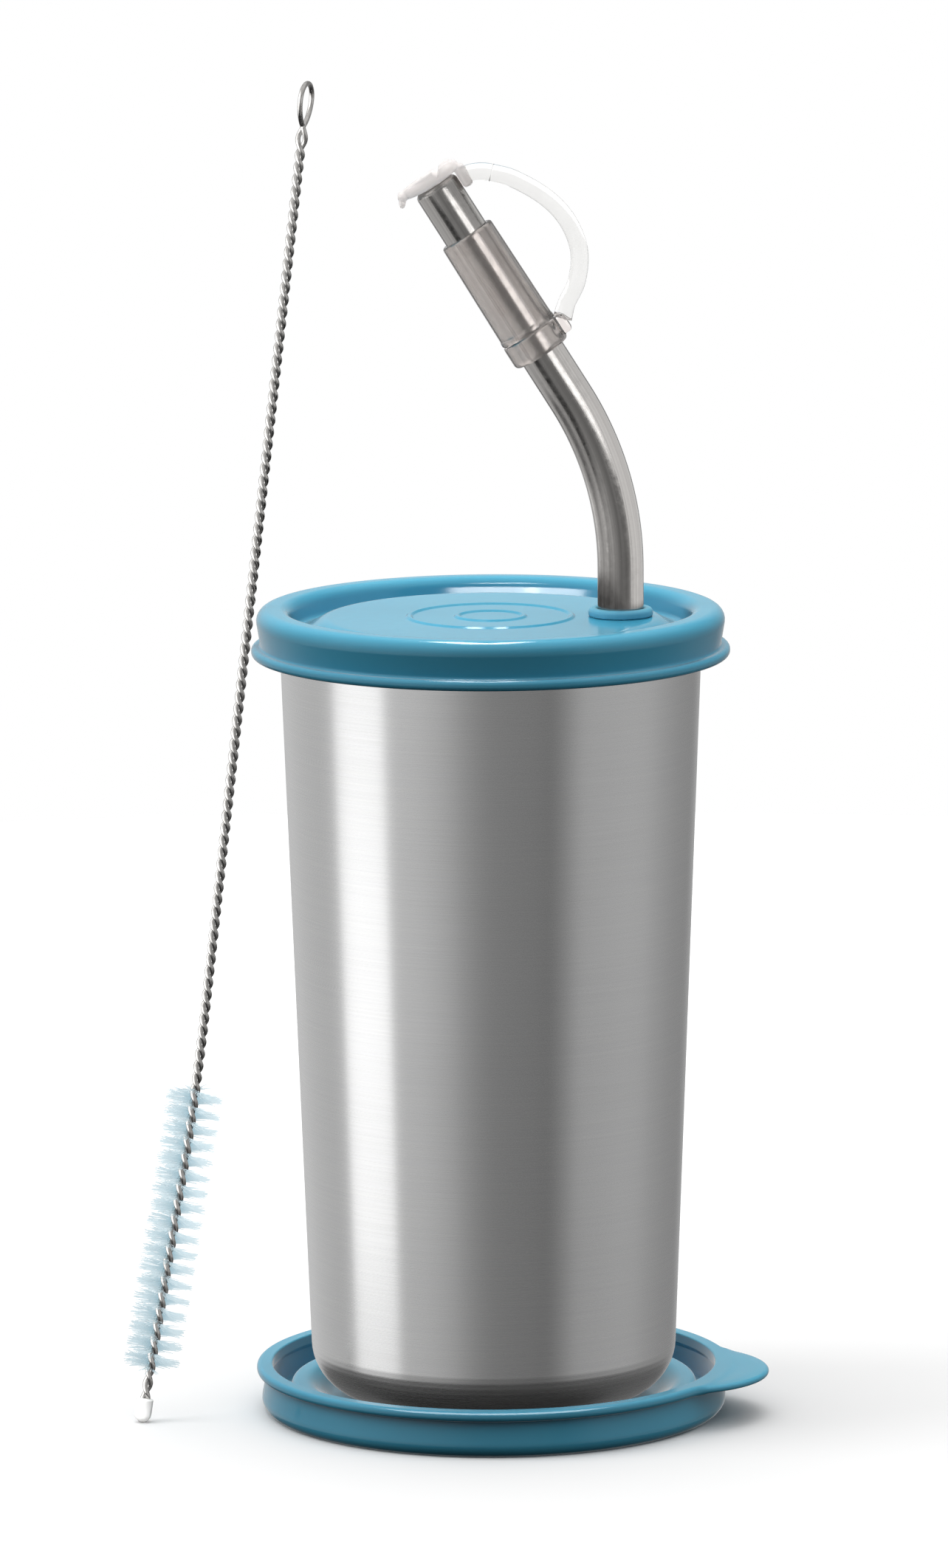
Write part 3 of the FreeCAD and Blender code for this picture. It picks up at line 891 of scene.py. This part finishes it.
def build_cap():
    """Cap with a grooved top, a bent pull tab on one side and its hinge ear on the other."""
    shell = turned_mesh(rounded([
        (0, 45.95, 0),
        (3.0, 45.9, 0),
        (5.4, 45.75, 0.8),
        (5.4, 44.0, 0.7),
        (3.2, 44.0, 0.2),
        (3.05, 41.8, 0.4),
        (0, 41.8, 0),
    ], closed=False), 96, closed=False)
    ear = rounded_bar((4.1, -1.6, 40.4), (6.0, 1.6, 44.6), 0.7)
    hump = rounded_bar((2.2, -3.0, 44.9), (4.4, 3.0, 46.1), 0.5)
    pull_tab = [
        rounded_bar((-6.2, -1.9, 44.15), (-4.2, 1.9, 45.75), 0.5),
        rod_along_y(-5.8, 44.9, 0.88, 1.2),
        rod_along_y(-6.35, 44.1, 0.6, 1.3),
        rod_along_y(-6.6, 43.75, 0.5, 1.3),
    ]
    notch = ([Vector((x, y, z)) for y in (-7, 7) for x, z in ((0.55, 46.4), (1.34, 44.86), (2.55, 46.4))],
             [(0, 1, 2), (5, 4, 3), (0, 3, 4, 1), (1, 4, 5, 2), (2, 5, 3, 0)])
    mesh = placed_mesh(moulded("cap_silicone", [shell, ear, hump] + pull_tab, 0.11, 18, cut=notch))
    add_piece("cap_silicone", mesh, CLOUDY_SILICONE, "silicone_clear", "cap", "straw_cap")


# ---- straw brush

def brush_line():
    """Centreline of the stem as (points, distances), from the middle of its rounded foot."""
    foot = BRUSH_FOOT + Z_AXIS * BRUSH_TIP_RADIUS
    corners = [foot, BRUSH_BEND, BRUSH_REST, BRUSH_NECK]
    points = [foot]
    for before, corner, after in zip(corners, corners[1:], corners[2:]):
        start = corner + (before - corner).normalized() * BRUSH_BEND_REACH
        end = corner + (after - corner).normalized() * BRUSH_BEND_REACH
        for step in range(BRUSH_BEND_STEPS + 1):
            t = step / BRUSH_BEND_STEPS
            points.append(start * (1 - t) ** 2 + corner * 2 * t * (1 - t) + end * t * t)
    points.append(BRUSH_NECK)
    distances = [0.0]
    for one, two in zip(points, points[1:]):
        distances.append(distances[-1] + (two - one).length)
    return points, distances


BRUSH_POINTS, BRUSH_DISTANCES = brush_line()
BRUSH_LENGTH = BRUSH_DISTANCES[-1]
EYE_START = BRUSH_LENGTH - EYE_LENGTH


def brush_station(along):
    """Centre of the stem at a distance from its foot, with its side, normal and axis there."""
    index = 0
    while index < len(BRUSH_DISTANCES) - 2 and BRUSH_DISTANCES[index + 1] < along:
        index += 1
    one, two = BRUSH_POINTS[index:index + 2]
    axis = (two - one).normalized()
    centre = one + axis * (along - BRUSH_DISTANCES[index])
    normal = axis.cross(LOOP_SIDE).normalized()
    side = normal.cross(axis).normalized()
    return centre, side, normal, axis


def twist_phase(along):
    """Turn of the two strands about the stem; at the neck they lie side by side in the loop's plane."""
    if along >= EYE_START:
        return pi * (BRUSH_LENGTH - along) / EYE_LENGTH
    upper = EYE_START - max(along, BRISTLE_END)
    lower = max(BRISTLE_END - along, 0)
    return pi + TURN * (upper / WIRE_PITCH + lower / WIRE_PITCH_IN_BRISTLES)


def strand_point(along, strand):
    """Point of one of the two strands, which open into a small eye under the loop."""
    centre, side, normal, _ = brush_station(along)
    into_eye = (along - EYE_START) / EYE_LENGTH
    spread = WIRE_RADIUS
    if into_eye > 0:
        spread += (EYE_SPREAD - WIRE_RADIUS) * sin(pi * into_eye ** 0.7) ** 1.5
    angle = twist_phase(along) + strand * pi
    return centre + (side * cos(angle) + normal * sin(angle)) * spread


def build_brush_wire():
    """One wire: up the stem, round the hanging loop and back down, twisted with itself."""
    count = int(BRUSH_LENGTH / WIRE_STEP)
    stations = [WIRE_START + (BRUSH_LENGTH - WIRE_START) * index / count for index in range(count + 1)]
    up = [strand_point(along, 0) for along in stations]
    down = [strand_point(along, 1) for along in reversed(stations)]
    _, side, _, axis = brush_station(BRUSH_LENGTH)
    loop = []
    for index in range(3, LOOP_STEPS - 2):
        angle = TURN * index / LOOP_STEPS
        height = LOOP_HEIGHT * (1 - cos(angle)) / 2
        width = LOOP_HALF_WIDTH * sin(angle) * sin(angle / 2) ** 0.6 * LOOP_FULLNESS
        pinch = WIRE_RADIUS * cos(angle / 2) ** 3
        loop.append(BRUSH_NECK + side * (width + pinch) + axis * height)
    strands = tube_mesh(up + loop + down, WIRE_RADIUS, 12, X_AXIS)
    wire = add_piece("brush_wire", strands, STEEL_WIRE, "steel_wire", "brush", "brush_stem")
    wire.visible_glossy = False


def build_bristles():
    """Nylon filaments held between the two strands, so that they fan out as a double spiral."""
    random.seed(BRISTLE_SEED)
    vertices = []
    faces = []
    reaches = []
    for index in range(BRISTLE_COUNT):
        share = (index + random.random()) / BRISTLE_COUNT
        along = BRISTLE_START + (BRISTLE_END - BRISTLE_START) * share
        centre, side, normal, axis = brush_station(along)
        angle = twist_phase(along) + pi / 2 + random.gauss(0, 0.15)
        out = side * cos(angle) + normal * sin(angle)
        for direction in (out, -out):
            length = BRISTLE_REACH * (1 - 0.34 * random.random() ** 2)
            lean = axis * random.gauss(0, 0.055)
            curl = axis.cross(direction) * random.gauss(0, 0.05) + axis * random.gauss(0, 0.04)
            across = axis.cross(direction).normalized()
            first = len(vertices)
            for ring in range(BRISTLE_RINGS):
                far = ring / (BRISTLE_RINGS - 1)
                middle = centre + (direction + lean) * (length * far) + curl * (length * far * far)
                radius = BRISTLE_RADIUS - BRISTLE_TAPER * far
                for corner in range(3):
                    turned = TURN * corner / 3
                    vertices.append(middle + (across * cos(turned) + axis * sin(turned)) * radius)
                    reaches.append(far)
                if ring:
                    low = first + 3 * (ring - 1)
                    for corner in range(3):
                        following = (corner + 1) % 3
                        faces.append((low + corner, low + following, low + 3 + following, low + 3 + corner))
            for end in (first, first + 3 * BRISTLE_RINGS - 3):
                faces.append((end, end + 1, end + 2))
    mesh = mesh_from("brush_filaments", vertices, faces)
    # How far out along its filament each point lies; the bristle material uses it to paint shade near the
    # wire.
    layer = mesh.attributes.new("reach", "FLOAT", "POINT")
    layer.data.foreach_set("value", reaches)
    filaments = add_piece("brush_filaments", mesh, BRISTLE, "bristle_blue", "brush", "brush_bristles")
    filaments.visible_transmission = False
    filaments.visible_shadow = False
    filaments.visible_glossy = False


def build_bead():
    """White bead on the wire's lower end, round below."""
    centre, side, normal, axis = brush_station(0)
    top = BRUSH_TIP_LENGTH - BRUSH_TIP_RADIUS
    outline = arc((0, 0), (BRUSH_TIP_RADIUS, BRUSH_TIP_RADIUS), -90, 90, 12)
    outline += rounded([(BRUSH_TIP_RADIUS, 0.3, 0), (BRUSH_TIP_RADIUS * 0.97, top, 0.35), (0, top, 0)],
                       closed=False)

    def place(radius, height, angle):
        return centre + axis * height + (side * cos(angle) + normal * sin(angle)) * radius

    bead = turned_mesh(outline, 48, closed=False, place=place)
    add_piece("brush_bead", bead, WHITE, "plastic_white", "brush", "brush_tip")


# ---- stage, light and camera

FLOOR_RADIUS = 0.62
FLOOR_SIDES = 96

# Brightness of the studio by compass direction: 0 is the camera's side, -90 the left.
STUDIO = (
    (-180, 0.6), (-152, 0.72), (-110, 0.735), (-97, 0.85), (-84, 1.0), (-63, 1.0), (-53, 0.97), (-43, 0.95),
    (-35, 0.88), (-25, 0.77), (-17, 0.6), (-8, 0.47), (0, 0.4), (8, 0.38), (26, 0.34), (34, 0.28),
    (43, 0.46), (52, 0.68), (63, 0.69), (84, 0.70), (98, 0.65), (110, 0.53), (128, 0.41), (152, 0.32),
    (180, 0.6),
)
STUDIO_GROUND = (
    (-180, 0.2), (-110, 0.05), (-50, 0.05), (20, 0.05), (60, 0.05), (150, 0.15), (180, 0.2),
)
STUDIO_TOP = 1.0
STUDIO_BELOW = 0.03
AMBIENT_LOW = 0.02
AMBIENT_TOP = 1.4
AMBIENT_LEFT = 0.10
WHITE_LIGHT = (1, 1, 1, 1)

MIDDLE = (0, 0, 80)
STRAW_END = (10, 0, 200)
BRUSH_MIDDLE = (-45, 0, 150)
LID_BACK = (0, 34.6, 139.6)
LID_CREST = (0, -37, 142)
STRAW_PIECES = ("straw_tube", "sleeve_silicone", "ring_silicone", "cap_silicone")
LID_PIECES = ("lid_moulding", "coaster_moulding", "grommet_ring")

CAMERA_AIM = Vector((-3, 0, 111))
CAMERA_DISTANCE = 1830
CAMERA_PITCH = radians(9.55)
CAMERA_ROLL = radians(0.27)
CAMERA_LENS = 241.3
CAMERA_SENSOR = 36
CAMERA_REACH = 20


def build_floor():
    """Plain round floor, painted whiter towards its edge where less lamp light falls, so that it runs into
    the background.
    """
    ring = [polar(FLOOR_RADIUS, 0, TURN * step / FLOOR_SIDES) for step in range(FLOOR_SIDES)]
    floor = add_object("floor", mesh_from("floor", ring, [tuple(range(FLOOR_SIDES))], scale=1))
    material, tree, shader = new_material("floor_white")
    near = mixed_colour(tree, noise(tree, 6, detail=2), (0.82, 0.82, 0.82), (0.84, 0.84, 0.84))
    position = add_node(tree, "TexCoord").outputs["Object"]
    distance = add_node(tree, "VectorMath", {"operation": "LENGTH"}, Vector=position)
    # Painted light: the floor's colour whitens with distance from the middle, making up for the lamps' light
    # that falls off towards the edge.
    painted_edge_light = ranged(tree, distance.outputs["Value"], 0, 1, 0.10, 0.45)
    feed_all(shader, Base_Color=mixed_colour(tree, painted_edge_light, near, (1, 1, 1)), Roughness=0.8,
             Specular_IOR_Level=0.1)
    floor.data.materials.append(material)
    floor.visible_glossy = False
    floor.visible_diffuse = False


def compass_ramp(tree, compass, table):
    """Brightness for a compass direction, read from a table of (degrees, level up to 1)."""
    ramp = add_node(tree, "ValToRGB", Fac=compass)
    stops = ramp.color_ramp.elements
    stops.remove(stops[1])
    for index, (angle, level) in enumerate(table):
        position = angle / 360 + 0.5
        stop = stops.new(position) if index else stops[0]
        stop.position = position
        stop.color = (level, level, level, 1)
    return ramp.outputs["Color"]


def blend_levels(tree, factor, low, high):
    """Between two brightnesses, given as sockets or numbers."""
    mix = add_node(tree, "Mix", {"data_type": "FLOAT"}, Factor=factor)
    feed(mix.inputs[2], low)
    feed(mix.inputs[3], high)
    return mix.outputs[0]


def smooth_step(tree, value, low, high, **ends):
    """Eases from one end to the other as a value rises from low to high."""
    return add_node(tree, "MapRange", {"interpolation_type": "SMOOTHSTEP"}, Value=value,
                    From_Min=low, From_Max=high, **ends).outputs["Result"]


def build_world():
    """White to the camera and through clear parts; for reflections a studio with soft bands of light.

    Diffuse light comes evenly from above instead, with a little more from the left.
    """
    world = bpy.data.worlds.new("studio")
    bpy.context.scene.world = world
    world.use_nodes = True
    tree = world.node_tree
    tree.nodes.clear()
    seen = add_node(tree, "TexCoord").outputs["Generated"]
    x, y, z = add_node(tree, "SeparateXYZ", Vector=seen).outputs
    compass = calculate(tree, "ARCTAN2", x, calculate(tree, "MULTIPLY", y, -1))
    share = calculate(tree, "MULTIPLY_ADD", compass, 1 / TURN, 0.5)
    ground = blend_levels(tree, smooth_step(tree, z, -0.88, -0.70), STUDIO_BELOW,
                          compass_ramp(tree, share, STUDIO_GROUND))
    walls = blend_levels(tree, smooth_step(tree, z, -0.39, -0.29), ground, compass_ramp(tree, share, STUDIO))
    bands = blend_levels(tree, smooth_step(tree, z, 0.45, 0.8), walls, STUDIO_TOP)
    sky = smooth_step(tree, z, 0.25, 0.85, To_Min=AMBIENT_LOW, To_Max=AMBIENT_TOP)
    leftward = calculate(tree, "MAXIMUM", calculate(tree, "MULTIPLY", x, -1), 0)
    ambient = calculate(tree, "MULTIPLY_ADD", leftward, AMBIENT_LEFT, sky)
    path = add_node(tree, "LightPath")
    level = blend_levels(tree, path.outputs["Is Diffuse Ray"], bands, ambient)
    studio = add_node(tree, "Background", Color=WHITE_LIGHT, Strength=level)
    white = add_node(tree, "Background", Color=WHITE_LIGHT, Strength=1.0)
    unreflected = calculate(tree, "LESS_THAN", path.outputs["Glossy Depth"], 0.5)
    through = calculate(tree, "MULTIPLY", path.outputs["Is Transmission Ray"], unreflected)
    plain = calculate(tree, "MAXIMUM", path.outputs["Is Camera Ray"], through)
    mix = add_node(tree, "MixShader", Fac=plain)
    tree.links.new(studio.outputs[0], mix.inputs[1])
    tree.links.new(white.outputs[0], mix.inputs[2])
    add_node(tree, "OutputWorld", Surface=mix.outputs[0])
    world.cycles.sampling_method = "NONE"


def add_lamp(name, aim, direction, distance, size, brightness, only=(), soft=False,
             colour=(1, 1, 1), shadow=True):
    """Area light aimed at a point from a direction, as (azimuth, elevation) in degrees.

    Azimuth 0 is the camera's side and -90 the left. Lengths are in millimetres, brightness in the world's
    own units. With only given, it lights those pieces and no others. A soft lamp isn't seen in reflections,
    and any other lamp is seen only there.
    """
    light = bpy.data.lights.new(name, "AREA")
    light.shape = "RECTANGLE"
    light.size, light.size_y = (side * MM for side in size)
    light.color = colour
    light.use_shadow = shadow
    light.energy = brightness * pi * light.size * light.size_y
    lamp = add_object(name, light)
    azimuth, elevation = (radians(degrees) for degrees in direction)
    flat = cos(elevation)
    away = Vector((sin(azimuth) * flat, -cos(azimuth) * flat, sin(elevation)))
    lamp.location = (Vector(aim) + away * distance) * MM
    lamp.rotation_euler = (-away).to_track_quat("-Z", "Y").to_euler()
    lamp.visible_camera = False
    lamp.visible_diffuse = soft
    lamp.visible_glossy = not soft
    if only:
        lit = bpy.data.collections.new(f"{name}_lit")
        for piece in only:
            lit.objects.link(bpy.data.objects[piece])
        lamp.light_linking.receiver_collection = lit


def build_lights():
    """Soft lights first, then cards and windows for reflections."""
    add_lamp("key", MIDDLE, (-80, 28), 850, (400, 800), 3.0, soft=True)
    add_lamp("overhead", MIDDLE, (180, 80), 900, (700, 700), 1.95, soft=True)
    add_lamp("lid_light", MIDDLE, (180, 60), 900, (600, 600), 4.3, LID_PIECES, colour=(0.5, 1.0, 0.92),
             soft=True)
    add_lamp("lid_fill", MIDDLE, (75, 8), 900, (600, 600), 2.0, LID_PIECES, soft=True)
    add_lamp("bead_light", BRUSH_FOOT, (-30, 30), 150, (200, 200), 4.5, ["brush_bead"], soft=True)
    add_lamp("coaster_edge", (0, -41, 8), (0, 65), 300, (500, 250), 9.0, ["coaster_moulding"])
    add_lamp("cup_card", (0, 0, 24), (-75, 0), 266, (160, 180), 0.95, ["tumbler_body"])
    add_lamp("wire_card", BRUSH_MIDDLE, (-70, 10), 450, (900, 900), 1.9, ["brush_wire"])
    add_lamp("wire_fill", BRUSH_MIDDLE, (45, -22), 450, (900, 900), 0.3, ["brush_wire"])
    add_lamp("straw_strip", STRAW_END, (35, 13), 900, (450, 260), 3.6, STRAW_PIECES)
    add_lamp("straw_card", STRAW_END, (100, 2), 300, (660, 280), 1.0, STRAW_PIECES)
    add_lamp("straw_floor", STRAW_END, (-100, -38), 400, (640, 420), 0.92, STRAW_PIECES, shadow=False)
    add_lamp("window_back", LID_BACK, (-1.5, 11), 59, (39, 11), 21, ["lid_moulding"])
    add_lamp("window_back_left", (12, 32, 139.6), (-40, 11), 60, (27, 11), 19, ["lid_moulding"])
    add_lamp("window_crest_left", LID_CREST, (-155, 69), 60, (13, 32), 22, ["lid_moulding"])
    add_lamp("window_crest", LID_CREST, (165, 70), 60, (8, 32), 22, ["lid_moulding"])


def build_camera():
    """Camera a little above the lid, looking slightly down through a long lens."""
    back = Vector((0, -cos(CAMERA_PITCH), sin(CAMERA_PITCH)))
    up = back.cross(X_AXIS)
    right_rolled = X_AXIS * cos(CAMERA_ROLL) - up * sin(CAMERA_ROLL)
    up_rolled = X_AXIS * sin(CAMERA_ROLL) + up * cos(CAMERA_ROLL)
    camera = bpy.data.cameras.new("camera")
    camera.sensor_width = CAMERA_SENSOR
    camera.lens = CAMERA_LENS
    camera.clip_end = CAMERA_REACH
    seen = add_object("camera", camera)
    turn = Matrix((right_rolled, up_rolled, back)).transposed().to_4x4()
    seen.matrix_world = Matrix.Translation(CAMERA_AIM * MM + back * (CAMERA_DISTANCE * MM)) @ turn
    bpy.context.scene.camera = seen


for build in (build_lids, build_tumbler, build_straw, build_grommet, build_sleeve, build_ring, build_strap,
              build_neck, build_cap, build_brush_wire, build_bristles, build_bead, build_floor, build_world,
              build_lights, build_camera):
    build()
bpy.context.scene.view_settings.view_transform = "Standard"
